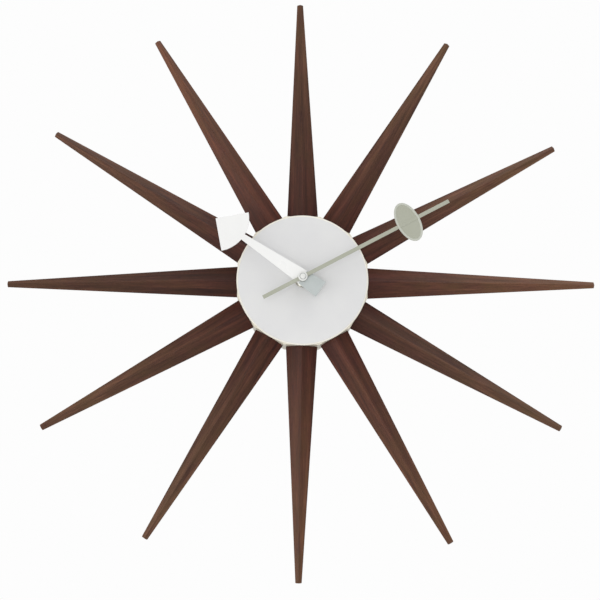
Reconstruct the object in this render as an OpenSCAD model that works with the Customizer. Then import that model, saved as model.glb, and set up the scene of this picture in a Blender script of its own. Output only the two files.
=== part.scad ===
// Sunburst wall clock: twelve tapered wooden spikes round a low drum, with a battery movement.
// The wall is the plane y = 0, the dial faces -Y, and 12 o'clock is +Z.
// Each piece is drawn face up, with z as its distance from the wall, and then stood up.

/* [Drum] */
// Width of the twelve-sided drum across its flats
drum_flats = 103; // [100:0.2:104]
// Distance from the wall to the front of the drum
drum_front = 34.5; // [34:0.5:38]
// Thickness of the drum's side wall
drum_wall = 3; // [2.6:0.1:3.4]
// Thickness of the drum's front web
web_t = 2; // [1.6:0.1:2.4]
// Thickness of the back plate
plate_t = 1.6; // [1.4:0.1:2]

/* [Spikes] */
// Diameter of the clock across the spike tips
clock_d = 470; // [440:5:500]
// Width of a spike where it meets the drum
spike_w = 25.2; // [22:0.2:26]
// Depth of a spike where it meets the drum
spike_d = 19; // [17:0.5:20]
// Width of a spike at its tip
tip_w = 5.1; // [3:0.1:7]
// Distance from the wall to the middle of the spikes
spike_z = 22; // [21.5:0.1:22.5]
// How unevenly the spikes are set: 0 is even, 1 is as made by hand
uneven = 1; // [0:0.1:1]

/* [Dial] */
// Radius of the dial disc
dial_r = 52.2; // [52:0.1:56]
// Thickness of the dial disc
dial_t = 1.5; // [1.2:0.1:2]

/* [Hour hand] */
// Direction of the hour hand, clockwise from 12
hour_angle = 303.8; // [0:0.1:359.9]
// Distance from the pivot to the outer corner of the shield
shield_reach = 83; // [75:1:90]
// Radius of the quarter-circle shield
shield_r = 26.4; // [20:0.2:30]
// Width of the hour hand where it meets the shield
hour_w_out = 5; // [4:0.1:8]
// Width of the hour hand at the end of its tail
hour_w_tail = 14.2; // [12:0.1:16]
// Length of the tail behind the pivot
hour_tail = 17; // [14:0.5:20]

/* [Minute hand] */
// Direction of the minute hand, clockwise from 12
minute_angle = 61.6; // [0:0.1:359.9]
// Distance from the pivot to the tip
minute_reach = 130.5; // [120:0.5:140]
// Length of the tail behind the pivot
minute_tail = 35; // [30:0.5:40]
// Width of the bar
minute_w = 3; // [2.4:0.1:4]
// Distance from the pivot to the middle of the oval
oval_reach = 94; // [85:0.1:100]
// Size of the oval across the bar
oval_across = 33; // [26:1:36]
// Size of the oval along the bar
oval_along = 19; // [15:0.5:22]

/* [Movement] */
// Width and height of the movement
move_w = 56; // [56:0.5:58]
// Depth of the movement
move_d = 16; // [16:0.1:16.4]
// Diameter of the battery
battery_d = 14.2; // [13.8:0.1:14.2]
// Length of the battery with its terminal
battery_l = 50.5; // [50:0.1:50.5]

/* [Hidden] */
hours = 12;
play = 0.05;          // running clearance, on the radius
seat = 0.02;          // clearance of pieces that are pressed or screwed together, on the radius
eps = 0.01;
deep = 100;           // longer than any hole
cream = "#efe9dc";
dial_grey = "#dededd";
walnut = "#4a2a20";
hand_white = "#f1f1f0";
hand_sage = "#b1b3a4";
steel = "#b9bcc0";
brass = "#c9a653";
nickel = "#d0cec6";
resin = "#2c2d30";
nylon = "#e4e1d6";

// Depths of the stack behind and in front of the dial
dial_front = drum_front + dial_t;
rubber_t = 1;
move_front = drum_front - web_t - rubber_t;
move_back = move_front - move_d;
hour_hand_z = dial_front + 10.6;
hand_t = 0.8;
minute_hand_z = hour_hand_z + 2.2;
cap_z = minute_hand_z + hand_t;
cap_h = 2.4;

// Drum
drum_in = drum_flats / 2 - drum_wall;      // distance from the axis to the inner flats
flat_to_corner = 1 / cos(180 / hours);
bush_hole_r = 4.1;
foot_x = 34;                               // the dial's two locating feet
foot_r = 1.2;
boss_x = 11.1;                             // the back plate's four screw bosses
boss_y = 41.5;
boss_r = 3.2;
boss_spots = [for (sx = [-1, 1], sy = [-1, 1]) [sx * boss_x, sy * boss_y]];

// Lean of each spike clockwise about the middle of its base, from 1 o'clock to 12, in degrees
spike_lean = uneven * [0.5, 1.2, -0.2, -1, 0.2, 0.3, 1, 0, -1.2, 1.2, -1.4, -1.1];
base_trim = 1;                             // cut off the base, so that a leaning spike sits flush

// Spike fastenings: a screw and a locating pin each
screw_r = 1.75;
screw_grip = 18;                           // length of the screw in the wood
screw_head_r = 3.5;
screw_head_h = 2.2;
ring_r = 4;                                // washer under the head
ring_t = 0.8;
pin_r = 1.25;
pin_l = 8;
pin_rise = 6.5;                            // the pin is this far in front of the screw

// Back plate
keyhole_y = 38;
keyhole_r = 4.5;
slot_r = 2.2;
slot_up = 6;
battery_window = [62, 22];
battery_window_y = -22;
knob_hole_r = 9;
flat_head_r = 2.9;
flat_head_h = 1.4;
machine_r = 1.25;                          // M3 screws and studs, at the thread's root
machine_l = 9;

// Hub of the hands
tube_r = 2.5;
arbor_r = 1.6;
thread_r = 1.25;
arbor_top = minute_hand_z - 0.6;
tube_top = hour_hand_z + 1;
hour_seat_r = 3.2;
minute_seat_r = 2.1;
eye_r = 3.5;
bush_r = 3.95;
bush_flange = [5.45, 0.7];
bush_top = dial_front + 4.5;

// Heights inside the movement, measured forward from its back face
wall = 1.5;
split_u = 8.5;                             // where the two cases meet
plate_u = 9.5;
plate_h = 1.2;
front_u = move_d - wall;                   // inner face of the front wall
shelf_top = -11;                           // wall between the battery and the train
shelf_low = -12.2;
bay_low = -26.5;
inner = move_w / 2 - wall;
pivot_r = 0.5;
rotor_pivot_r = 0.4;
pivot_low = 0.75;                          // pivots turn in blind holes in the rear case
pivot_hole = 0.7;
pivot_top = plate_u + 0.9;                 // and in through holes in the train plate
post_r = 1.6;
post_x = 24;
post_spots = [[-post_x, 24], [post_x, 24], [-post_x, -8.5], [post_x, -8.5]];
corner_cut = 2.5;

// Gears: [teeth, module] of both wheels in each mesh
rotor_leaves = 10;
intermediate_teeth = 60;
intermediate_leaves = 12;
seconds_teeth = 60;
seconds_leaves = 8;
third_teeth = 60;
third_leaves = 8;
centre_teeth = 64;
cannon_teeth = 14;
motion_teeth = 42;
motion_leaves = 12;
hour_teeth = 48;
setting_teeth = 14;
centre_gap = 9;                            // centre arbor to third arbor and to intermediate arbor
rotor_gap = 7.7;
motion_gap = 8.4;
rotor_m = 2 * rotor_gap / (rotor_leaves + intermediate_teeth);
seconds_m = 2 * centre_gap / (intermediate_leaves + seconds_teeth);
third_m = 2 * centre_gap / (seconds_leaves + third_teeth);
centre_m = 2 * centre_gap / (third_leaves + centre_teeth);
motion_m = 2 * motion_gap / (cannon_teeth + motion_teeth);
hour_m = 2 * motion_gap / (motion_leaves + hour_teeth);

// Heights of the wheels and pinions
wheel_t = 0.8;
rotor_pinion_u = 2.5;
intermediate_wheel_u = 2.9;
intermediate_pinion_u = 3.6;
seconds_pinion_u = 1.9;
seconds_wheel_u = 4.5;
third_wheel_u = 2.7;
third_pinion_u = 5.9;
centre_wheel_u = 6.9;
cannon_u = 11;
motion_wheel_u = 11.1;
motion_pinion_u = 12.1;
motion_wheel_t = 1.1;
hour_wheel_u = 12.6;
stub_top = 15.3;                           // arbors that turn in the front case end here
stub_r = 0.7;
setting_stub_r = 0.8;
centre_boss = [2.6, 8.7];                  // radius and top of the centre wheel's boss
arbor_low = 5.9;                           // lower end of the minute arbor, over the seconds pivot

// Directions from one arbor to the next, anticlockwise from +X as seen from the front
to_third = 20;
to_intermediate = 145;
to_rotor = 150;
to_motion = 200;
to_setting = 150;
function step(from, gap, angle) = from + gap * [cos(angle), sin(angle)];
centre_at = [0, 0];
third_at = step(centre_at, centre_gap, to_third);
intermediate_at = step(centre_at, centre_gap, to_intermediate);
rotor_at = step(intermediate_at, rotor_gap, to_rotor);
motion_at = step(centre_at, motion_gap, to_motion);
setting_at = step(motion_at, motion_gap, to_setting);

// Angle of the second gear, so that one of its gaps faces a tooth of the first
function in_mesh(first_angle, first_teeth, teeth, way) =
    way + 180 + 180 / teeth - (first_angle - way) * first_teeth / teeth;
motion_turn = in_mesh(0, cannon_teeth, motion_teeth, to_motion);

// Coil and stator
coil_at = [-4, 20];
coil_l = 22;
coil_u = 5.5;
coil_r = 3.6;
coil_core_r = 2.2;
coil_flange_r = 3.9;
coil_flange_t = 0.8;
core_size = [31, 3, 1];
core_screw_x = 13.4;
core_screw_r = 0.8;
stator_t = 1;
magnet_r = 2.2;
magnet_h = 2.2;
magnet_u = 5.4;
magnet_seat_r = 0.9;

// Battery and contacts
battery_y = (bay_low + shelf_low) / 2;
battery_u = 7.3;
strip_t = 0.4;
strip_h = 4;
strip_u = 5.4;

// Setting knob
knob_u = -9.5;
knob_h = 4;
knob_r = 5.5;
stem_r = 1.5;
stem_end_r = 1.2;

function spike_name(hour) = str("spike_", hour < 10 ? "0" : "", hour);

// ---- helpers ----

// Turns a piece drawn face up so that it faces -Y
module stand() {
    rotate([90, 0, 0]) children();
}

// A piece inside the movement, at a height above the movement's back face
module in_movement(at, height) {
    stand() translate([at[0], at[1], move_back + height]) children();
}

// A piece that lies along a direction on the dial, clockwise from 12
module pointing(angle) {
    rotate(90 - angle) children();
}

// A piece drawn along +X at the middle of a spike, in each hour's place
module at_each_hour() {
    for (hour = [1:hours]) {
        stand() pointing(hour * 360 / hours) translate([0, 0, spike_z]) children();
    }
}

module along_x(length, r) {
    rotate([0, 90, 0]) cylinder(h = length, r = r, $fn = 48);
}

module washer(outer, hole, thick) {
    difference() {
        cylinder(h = thick, r = outer, $fn = 64);
        translate([0, 0, -1]) cylinder(h = thick + 2, r = hole, $fn = 64);
    }
}

// A flat-sided prism with as many sides as there are hours, a flat towards each hour
module hour_prism(apothem, height) {
    rotate(180 / hours) cylinder(h = height, r = apothem * flat_to_corner, $fn = hours);
}

function on_circle(r, angle) = r * [cos(angle), sin(angle)];

// Half the angular width of a tooth at its root, its pitch circle and its tip, as shares of a
// quarter of the tooth spacing
tooth_shares = [0.90, 0.80, 0.30];

function gear_points(teeth, m) = [
    for (tooth = [0:teeth - 1])
        for (side = [-1, 1])
            for (place = side < 0 ? [0, 1, 2] : [2, 1, 0])
                on_circle(
                    m * (teeth / 2 + [-1.25, 0, 0.9][place]),
                    (tooth * 360 + side * tooth_shares[place] * 90) / teeth)
];

module gear(teeth, m, thick, turn) {
    rotate(turn) linear_extrude(height = thick) polygon(gear_points(teeth, m));
}

// Straight arbor between two heights
module arbor(low, high, r) {
    translate([0, 0, low]) cylinder(h = high - low, r = r, $fn = 32);
}

module hole(at, low, high, r) {
    translate([at[0], at[1], low]) cylinder(h = high - low, r = r, $fn = 48);
}

// Square outline with its corners cut
module case_outline(width, height) {
    half = width / 2;
    near = half - corner_cut;
    linear_extrude(height = height)
        polygon([[near, -half], [half, -near], [half, near], [near, half],
                 [-near, half], [-half, near], [-half, -near], [-near, -half]]);
}

module block(low, high) {
    translate(low) cube(high - low);
}

// ---- case, dial and spikes ----

module dial_disc() {
    rim = 0.6;
    color(dial_grey) stand() translate([0, 0, drum_front]) {
        difference() {
            rotate_extrude($fn = 180) union() {
                square([dial_r - rim, dial_t]);
                square([dial_r, dial_t - rim]);
                translate([dial_r - rim, dial_t - rim]) circle(r = rim, $fn = 32);
            }
            hole(centre_at, -1, dial_t + 1, bush_hole_r);
        }
        for (side = [-1, 1]) {
            hole([side * foot_x, 0], -web_t + 0.1, eps, foot_r);
        }
    }
}

module drum_case() {
    color(cream) stand() difference() {
        union() {
            difference() {
                translate([0, 0, plate_t]) hour_prism(drum_flats / 2, drum_front - plate_t);
                hour_prism(drum_in, drum_front - web_t);
            }
            for (spot = boss_spots) {
                hole(spot, plate_t, drum_front - web_t + eps, boss_r);
            }
        }
        for (spot = boss_spots) {
            hole(spot, 0, plate_t + 10, machine_r + seat);
        }
        hole(centre_at, 0, deep, bush_hole_r);
        for (side = [-1, 1]) {
            hole([side * foot_x, 0], 0, deep, foot_r + play);
        }
        for (hour = [1:hours]) {
            pointing(hour * 360 / hours) {
                translate([drum_in - 1, 0, spike_z]) along_x(drum_wall + 2, screw_r + 0.15);
                translate([drum_in - 1, 0, spike_z + pin_rise]) along_x(drum_wall + 2, pin_r + seat);
            }
        }
    }
}

module back_plate() {
    color(steel) stand() difference() {
        hour_prism(drum_flats / 2 - 0.2, plate_t);
        hole([0, keyhole_y], -1, plate_t + 1, keyhole_r);
        hole([0, keyhole_y + slot_up], -1, plate_t + 1, slot_r);
        block([-slot_r, keyhole_y, -1], [slot_r, keyhole_y + slot_up, plate_t + 1]);
        translate([0, battery_window_y, plate_t / 2])
            cube([battery_window[0], battery_window[1], plate_t + 2], center = true);
        hole(setting_at, -1, plate_t + 1, knob_hole_r);
        for (spot = boss_spots) {
            hole(spot, -1, plate_t + 1, machine_r + 0.15);
            translate([spot[0], spot[1], -eps])
                cylinder(h = flat_head_h + eps, r1 = flat_head_r + 0.1, r2 = machine_r + 0.15, $fn = 48);
        }
    }
}

// Cross recess cut into a screw's head
module cross_recess(across, depth) {
    for (turn = [0, 90]) {
        rotate(turn) translate([0, 0, depth / 2]) cube([across, across / 5, depth], center = true);
    }
}

module back_plate_screws() {
    color(steel) stand() for (spot = boss_spots) {
        translate([spot[0], spot[1], 0]) difference() {
            union() {
                cylinder(h = flat_head_h, r1 = flat_head_r, r2 = machine_r, $fn = 48);
                cylinder(h = machine_l, r = machine_r, $fn = 48);
            }
            translate([0, 0, -eps]) cross_recess(3, 0.8);
        }
    }
}

module spike_screws() {
    color(steel) at_each_hour() translate([drum_in - ring_t, 0, 0]) {
        along_x(ring_t + drum_wall + screw_grip, screw_r);
        difference() {
            translate([-screw_head_h, 0, 0]) along_x(screw_head_h, screw_head_r);
            translate([-screw_head_h - eps, 0, 0]) rotate([0, 90, 0]) cross_recess(3.6, 1);
        }
    }
}

module spike_washers() {
    color(brass) at_each_hour() translate([drum_in - ring_t, 0, 0])
        rotate([0, 90, 0]) washer(ring_r, screw_r + 0.1, ring_t);
}

module spike_pins() {
    color(steel) at_each_hour() translate([drum_in, 0, pin_rise]) along_x(pin_l, pin_r);
}

// Tapered four-sided bar along +X with its ridges to the front and the back, full size at x = 0
module tapered_bar(length) {
    grow = 1 + (1 - tip_w / spike_w) * base_trim / length;
    across = spike_w / 2 * grow;
    deep_by = spike_d / 2 * grow;
    translate([-base_trim, 0, 0]) rotate([0, 90, 0])
        linear_extrude(height = length + base_trim, scale = tip_w / spike_w / grow)
            polygon([[-deep_by, 0], [0, across], [deep_by, 0], [0, -across]]);
}

module spike(hour) {
    base = drum_flats / 2;
    past_end = 0.5;
    color(walnut) stand() pointing(hour * 360 / hours) translate([base, 0, spike_z]) difference() {
        rotate(-spike_lean[hour - 1]) tapered_bar(clock_d / 2 - base);
        block([-2 * base_trim, -spike_w, -spike_d], [0, spike_w, spike_d]);
        translate([-base_trim, 0, 0]) along_x(base_trim + screw_grip + past_end, screw_r + seat);
        translate([-base_trim, 0, pin_rise])
            along_x(base_trim + pin_l - drum_wall + past_end, pin_r + seat);
    }
}

// ---- hands ----

module hour_hand() {
    arm_end = shield_reach - shield_r + 0.6;
    color(hand_white) stand() translate([0, 0, hour_hand_z]) pointing(hour_angle)
        linear_extrude(height = hand_t) difference() {
            union() {
                polygon([[-hour_tail, -hour_w_tail / 2], [arm_end, -hour_w_out / 2],
                         [arm_end, hour_w_out / 2], [-hour_tail, hour_w_tail / 2]]);
                translate([shield_reach, 0]) intersection() {
                    circle(r = shield_r, $fn = 96);
                    rotate(135) square(shield_r + 1);
                }
            }
            circle(r = hour_seat_r + seat, $fn = 48);
        }
}

module hour_hand_bush() {
    flange_t = 1.2;
    color(nickel) stand() difference() {
        union() {
            hole(centre_at, hour_hand_z - flange_t, hour_hand_z, 4.6);
            hole(centre_at, hour_hand_z - flange_t, tube_top, hour_seat_r);
        }
        hole(centre_at, 0, deep, tube_r + seat);
    }
}

module minute_hand() {
    oval_steps = 60;
    oval = [for (i = [0:oval_steps - 1])
        [oval_reach + oval_along / 2 * cos(i * 360 / oval_steps),
         oval_across / 2 * sin(i * 360 / oval_steps)]];
    color(hand_sage) stand() translate([0, 0, minute_hand_z]) pointing(minute_angle)
        linear_extrude(height = hand_t) difference() {
            union() {
                translate([-minute_tail, -minute_w / 2]) square([minute_tail + minute_reach, minute_w]);
                circle(r = eye_r, $fn = 48);
                polygon(oval);
            }
            circle(r = minute_seat_r + seat, $fn = 48);
        }
}

module minute_hand_bush() {
    color(nickel) stand() difference() {
        union() {
            hole(centre_at, arbor_top, minute_hand_z, 3.4);
            hole(centre_at, arbor_top, cap_z, minute_seat_r);
        }
        hole(centre_at, 0, deep, thread_r + seat);
    }
}

module hand_cap() {
    cap_r = 3.7;
    crown = 0.9;
    color(hand_white) stand() translate([0, 0, cap_z]) difference() {
        rotate_extrude($fn = 64) union() {
            square([cap_r - crown, cap_h]);
            square([cap_r, cap_h - crown]);
            translate([cap_r - crown, cap_h - crown]) circle(r = crown, $fn = 32);
        }
        hole(centre_at, -1, 1.4, thread_r + seat);
    }
}

// ---- hub ----

module mounting_nut() {
    across_flats = 10;
    color(nickel) stand() translate([0, 0, dial_front + 0.5]) difference() {
        cylinder(h = 2.5, r = across_flats / 2 / cos(30), $fn = 6);
        hole(centre_at, -1, 4, bush_r + seat);
    }
}

module mounting_washer() {
    color(nickel) stand() translate([0, 0, dial_front]) washer(6.5, bush_r + 0.1, 0.5);
}

module rubber_washer() {
    color(resin) stand() translate([0, 0, move_front]) washer(12, bush_r + 0.1, rubber_t);
}

module threaded_bush() {
    low = move_back + front_u;
    color(nickel) stand() difference() {
        union() {
            hole(centre_at, low, bush_top, bush_r);
            hole(centre_at, low, low + bush_flange[1], bush_flange[0]);
        }
        hole(centre_at, 0, deep, tube_r + play);
    }
}

// ---- movement cases ----

// Slots beside the shelf, for the contact strips
module strip_slots(low, high) {
    for (side = [-1, 1]) {
        translate([side * (inner - 0.45), (shelf_low + shelf_top) / 2, (low + high) / 2])
            cube([0.9, shelf_top - shelf_low + 0.2, high - low], center = true);
    }
}

module train_pocket(low, high) {
    block([-inner, shelf_top, low], [inner, inner, high]);
}

module battery_pocket(low, high) {
    block([-inner, bay_low, low], [inner, shelf_low, high]);
}

module movement_front_case() {
    color(resin) in_movement(centre_at, 0) difference() {
        union() {
            difference() {
                translate([0, 0, split_u]) case_outline(move_w, move_d - split_u);
                train_pocket(split_u - 1, front_u);
                battery_pocket(split_u - 1, front_u);
            }
            for (spot = post_spots) {
                hole(spot, plate_u + plate_h, front_u + eps, post_r);
            }
            for (side = [-1, 1]) {
                translate([side * (move_w / 2 + 0.2), 0, 10.5]) cube([0.6, 3.6, 1.6], center = true);
            }
        }
        strip_slots(split_u - 1, plate_u);
        hole(centre_at, front_u - 1, deep, bush_r + seat);
        hole(centre_at, front_u - 1, front_u + bush_flange[1], bush_flange[0] + seat);
        hole(motion_at, front_u - 1, stub_top + 0.1, stub_r + play);
        hole(setting_at, front_u - 1, stub_top + 0.1, setting_stub_r + play);
    }
}

module movement_rear_case() {
    color(resin) in_movement(centre_at, 0) difference() {
        union() {
            difference() {
                case_outline(move_w, split_u);
                train_pocket(wall, split_u + 1);
                battery_pocket(-1, split_u + 1);
            }
            for (spot = post_spots) {
                hole(spot, wall - eps, plate_u, post_r);
            }
            for (side = [-1, 1]) {
                hole([coil_at[0] + side * core_screw_x, coil_at[1]], wall - eps, 5, 1.9);
                translate([side * (move_w / 2 + 0.4), 0, 8]) difference() {
                    cube([0.8, 7, 8], center = true);
                    translate([0, 0, 2.5]) cube([2, 4, 2], center = true);
                }
            }
        }
        strip_slots(strip_u - 0.1, split_u + 1);
        hole(centre_at, pivot_hole, wall + 1, pivot_r + play);
        hole(third_at, pivot_hole, wall + 1, pivot_r + play);
        hole(intermediate_at, pivot_hole, wall + 1, pivot_r + play);
        hole(rotor_at, pivot_hole, wall + 1, rotor_pivot_r + play);
        hole(setting_at, -1, wall + 1, stem_r + play);
        for (side = [-1, 1]) {
            hole([coil_at[0] + side * core_screw_x, coil_at[1]], 2, 6, core_screw_r + seat);
        }
    }
}

module train_plate() {
    side = inner - 0.1;
    color(nylon) in_movement(centre_at, 0) difference() {
        block([-side, shelf_top + 0.1, plate_u], [side, side, plate_u + plate_h]);
        hole(centre_at, 0, deep, arbor_r + play);
        hole(third_at, 0, deep, pivot_r + play);
        hole(intermediate_at, 0, deep, pivot_r + play);
        hole(rotor_at, 0, deep, rotor_pivot_r + play);
        hole(motion_at, 0, deep, stub_r + play);
        hole(setting_at, 0, deep, stem_r + play);
    }
}

// ---- coil and stator ----

module coil_bobbin() {
    color("#e8d9a8") in_movement(coil_at, coil_u) difference() {
        translate([-coil_l / 2, 0, 0]) union() {
            along_x(coil_l, coil_core_r);
            along_x(coil_flange_t, coil_flange_r);
            translate([coil_l - coil_flange_t, 0, 0]) along_x(coil_flange_t, coil_flange_r);
        }
        cube([coil_l + 2, core_size[1] + 0.1, core_size[2] + 0.1], center = true);
    }
}

module coil_winding() {
    length = coil_l - 2 * coil_flange_t;
    color("#a5552b") in_movement(coil_at, coil_u) translate([-length / 2, 0, 0])
        rotate([0, 90, 0]) washer(coil_r, coil_core_r, length);
}

module coil_core() {
    color(steel) in_movement(coil_at, coil_u) difference() {
        cube(core_size, center = true);
        for (side = [-1, 1]) {
            hole([side * core_screw_x, 0], -5, 5, core_screw_r + play);
        }
    }
}

module stator_plate() {
    leg = 4;
    left = coil_at[0] - core_screw_x;
    right = coil_at[0] + core_screw_x;
    top = coil_at[1] + 2;
    color(steel) in_movement(centre_at, coil_u + core_size[2] / 2) difference() {
        union() {
            hole(rotor_at, 0, stator_t, 5);
            block([left - leg / 2, rotor_at[1], 0], [left + leg / 2, top, stator_t]);
            block([rotor_at[0], 11.2, 0], [right + leg / 2, 11.2 + leg, stator_t]);
            block([right - leg / 2 + 0.1, 11.2, 0], [right + leg / 2, top, stator_t]);
        }
        hole(rotor_at, -1, stator_t + 1, magnet_r + 0.4);
        for (x = [left, right]) {
            hole([x, coil_at[1]], -1, stator_t + 1, core_screw_r + play);
        }
    }
}

module core_screws() {
    low = coil_u + core_size[2] / 2;
    color(brass) for (side = [-1, 1]) {
        in_movement([coil_at[0] + side * core_screw_x, coil_at[1]], low) {
            arbor(-4, stator_t, core_screw_r);
            difference() {
                arbor(stator_t, stator_t + 1, 1.6);
                translate([0, 0, stator_t + 0.9]) cube([4, 0.4, 0.8], center = true);
            }
        }
    }
}

// ---- going train ----

module rotor() {
    color(nylon) in_movement(rotor_at, 0) {
        arbor(pivot_low, pivot_top, rotor_pivot_r);
        translate([0, 0, rotor_pinion_u]) gear(rotor_leaves, rotor_m, 1.8, 0);
        arbor(4.2, magnet_u + magnet_h + 0.3, magnet_seat_r);
    }
}

module rotor_magnet() {
    color("#5b5f66") in_movement(rotor_at, magnet_u) washer(magnet_r, magnet_seat_r + seat, magnet_h);
}

module intermediate_wheel() {
    turn = in_mesh(0, rotor_leaves, intermediate_teeth, to_rotor + 180);
    color(nylon) in_movement(intermediate_at, 0) {
        arbor(pivot_low, pivot_top, pivot_r);
        translate([0, 0, intermediate_wheel_u]) gear(intermediate_teeth, rotor_m, wheel_t, turn);
        translate([0, 0, intermediate_pinion_u]) gear(intermediate_leaves, seconds_m, 2.3, 0);
    }
}

module seconds_wheel() {
    turn = in_mesh(0, intermediate_leaves, seconds_teeth, to_intermediate + 180);
    color(nylon) in_movement(centre_at, 0) {
        arbor(pivot_low, plate_u, pivot_r);
        translate([0, 0, seconds_pinion_u]) gear(seconds_leaves, third_m, 2.7, 0);
        translate([0, 0, seconds_wheel_u]) gear(seconds_teeth, seconds_m, wheel_t, turn);
    }
}

module third_wheel() {
    turn = in_mesh(0, seconds_leaves, third_teeth, to_third);
    color(nylon) in_movement(third_at, 0) {
        arbor(pivot_low, pivot_top, pivot_r);
        translate([0, 0, third_wheel_u]) gear(third_teeth, third_m, wheel_t, turn);
        translate([0, 0, third_pinion_u]) gear(third_leaves, centre_m, 2.4, 0);
    }
}

module centre_wheel() {
    turn = in_mesh(0, third_leaves, centre_teeth, to_third + 180);
    color(brass) in_movement(centre_at, 0) difference() {
        union() {
            translate([0, 0, centre_wheel_u]) gear(centre_teeth, centre_m, wheel_t, turn);
            arbor(centre_wheel_u + wheel_t - 0.1, centre_boss[1], centre_boss[0]);
        }
        hole(centre_at, 0, deep, arbor_r + seat);
    }
}

module minute_arbor() {
    color(brass) in_movement(centre_at, 0) difference() {
        union() {
            arbor(arbor_low, arbor_top - move_back, arbor_r);
            arbor(arbor_low, cap_z + 1 - move_back, thread_r);
            translate([0, 0, cannon_u]) gear(cannon_teeth, motion_m, 1.3, 0);
        }
        hole(centre_at, arbor_low - 1, plate_u + 0.3, pivot_r + play);
    }
}

// ---- motion work ----

module motion_wheel() {
    color(nylon) in_movement(motion_at, 0) {
        arbor(plate_u + 0.1, stub_top, stub_r);
        translate([0, 0, motion_wheel_u]) gear(motion_teeth, motion_m, motion_wheel_t, motion_turn);
        translate([0, 0, motion_pinion_u]) gear(motion_leaves, hour_m, 2, 0);
    }
}

module hour_wheel() {
    turn = in_mesh(0, motion_leaves, hour_teeth, to_motion + 180);
    color(nylon) in_movement(centre_at, 0) difference() {
        union() {
            translate([0, 0, hour_wheel_u]) gear(hour_teeth, hour_m, 1, turn);
            arbor(hour_wheel_u + 0.9, front_u - 0.2, 3.4);
            arbor(hour_wheel_u + 0.9, tube_top - move_back, tube_r);
        }
        hole(centre_at, 0, deep, arbor_r + play);
    }
}

module setting_pinion() {
    turn = in_mesh(motion_turn, motion_teeth, setting_teeth, to_setting);
    color(nylon) in_movement(setting_at, 0) {
        arbor(knob_u + 1, knob_u + knob_h + 0.1, stem_end_r);
        arbor(knob_u + knob_h + 0.05, motion_wheel_u + 0.1, stem_r);
        translate([0, 0, motion_wheel_u]) gear(setting_teeth, motion_m, motion_wheel_t, turn);
        arbor(motion_wheel_u + 1, stub_top, setting_stub_r);
    }
}

module setting_knob() {
    grips = 18;
    color(resin) in_movement(setting_at, knob_u) difference() {
        cylinder(h = knob_h, r = knob_r, $fn = 64);
        hole(centre_at, 1, knob_h + 1, stem_end_r + seat);
        for (i = [1:grips]) {
            rotate(i * 360 / grips) hole([knob_r + 0.2, 0], -1, knob_h + 1, 0.5);
        }
    }
}

// ---- electrics ----

module circuit_board() {
    color("#2f5d3a") in_movement(centre_at, 0)
        block([12.5, 12.5, split_u], [inner - strip_t, 21, plate_u]);
}

module quartz_crystal() {
    color(steel) in_movement([13.5, 19], split_u - 1) along_x(6, 1);
}

module clock_chip() {
    color(resin) in_movement([20, 15.2], split_u - 0.7) cylinder(h = 0.7, r = 2.4, $fn = 48);
}

module battery() {
    nub_h = 1;
    body_l = battery_l - nub_h;
    color("#8d6b3a") in_movement([-battery_l / 2, battery_y], battery_u) {
        along_x(body_l, battery_d / 2);
        translate([body_l - eps, 0, 0]) along_x(nub_h + eps, 2.75);
    }
}

// Dimple on a contact strip that touches the end of the battery
module dimple() {
    along_x(inner - strip_t - battery_l / 2 - play + eps, 1.8);
}

module negative_contact() {
    color(steel) in_movement(centre_at, 0) union() {
        block([-inner, -24, strip_u], [-inner + strip_t, inner - 0.2, strip_u + strip_h]);
        block([-inner, inner - 0.6, strip_u], [20, inner - 0.2, strip_u + strip_h]);
        block([19.6, 21, strip_u], [20, inner - 0.2, strip_u + strip_h]);
        translate([-inner + strip_t - eps, battery_y, battery_u]) dimple();
    }
}

module positive_contact() {
    color(steel) in_movement(centre_at, 0) union() {
        block([inner - strip_t, -24, strip_u], [inner, 20, strip_u + strip_h]);
        translate([battery_l / 2 + play, battery_y, battery_u]) dimple();
    }
}

dial_disc();
drum_case();
back_plate();
back_plate_screws();
spike_screws();
spike_washers();
spike_pins();
for (hour = [1:hours]) {
    spike(hour);
}
hour_hand();
hour_hand_bush();
minute_hand();
minute_hand_bush();
hand_cap();
mounting_nut();
mounting_washer();
rubber_washer();
threaded_bush();
movement_front_case();
movement_rear_case();
train_plate();
coil_bobbin();
coil_winding();
coil_core();
stator_plate();
core_screws();
rotor();
rotor_magnet();
intermediate_wheel();
seconds_wheel();
third_wheel();
centre_wheel();
minute_arbor();
motion_wheel();
hour_wheel();
setting_pinion();
setting_knob();
circuit_board();
quartz_crystal();
clock_chip();
battery();
negative_contact();
positive_contact();
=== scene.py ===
# Sunburst wall clock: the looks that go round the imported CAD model.
# Everything is in metres, in the CAD's own frame: the wall is the plane y = 0, the dial faces -Y
# and 12 o'clock is +Z. A piece drawn face up has its local z as its distance from the wall.
import math
import random

import bmesh
import bpy
from mathutils import Matrix, Vector


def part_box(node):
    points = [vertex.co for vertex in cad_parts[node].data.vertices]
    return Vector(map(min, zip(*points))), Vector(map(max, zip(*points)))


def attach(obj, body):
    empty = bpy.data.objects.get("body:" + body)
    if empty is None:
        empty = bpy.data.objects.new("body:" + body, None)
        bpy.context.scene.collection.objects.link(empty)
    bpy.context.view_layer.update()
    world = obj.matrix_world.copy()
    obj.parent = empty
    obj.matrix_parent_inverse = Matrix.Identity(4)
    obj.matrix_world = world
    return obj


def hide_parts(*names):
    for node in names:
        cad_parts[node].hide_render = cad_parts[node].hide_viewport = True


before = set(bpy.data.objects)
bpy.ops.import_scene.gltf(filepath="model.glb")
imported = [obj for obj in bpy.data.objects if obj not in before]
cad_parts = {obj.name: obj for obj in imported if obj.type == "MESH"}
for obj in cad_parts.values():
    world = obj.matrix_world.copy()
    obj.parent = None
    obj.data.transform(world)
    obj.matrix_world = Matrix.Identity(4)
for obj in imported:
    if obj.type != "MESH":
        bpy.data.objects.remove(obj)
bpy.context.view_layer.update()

MM = 0.001
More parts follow.
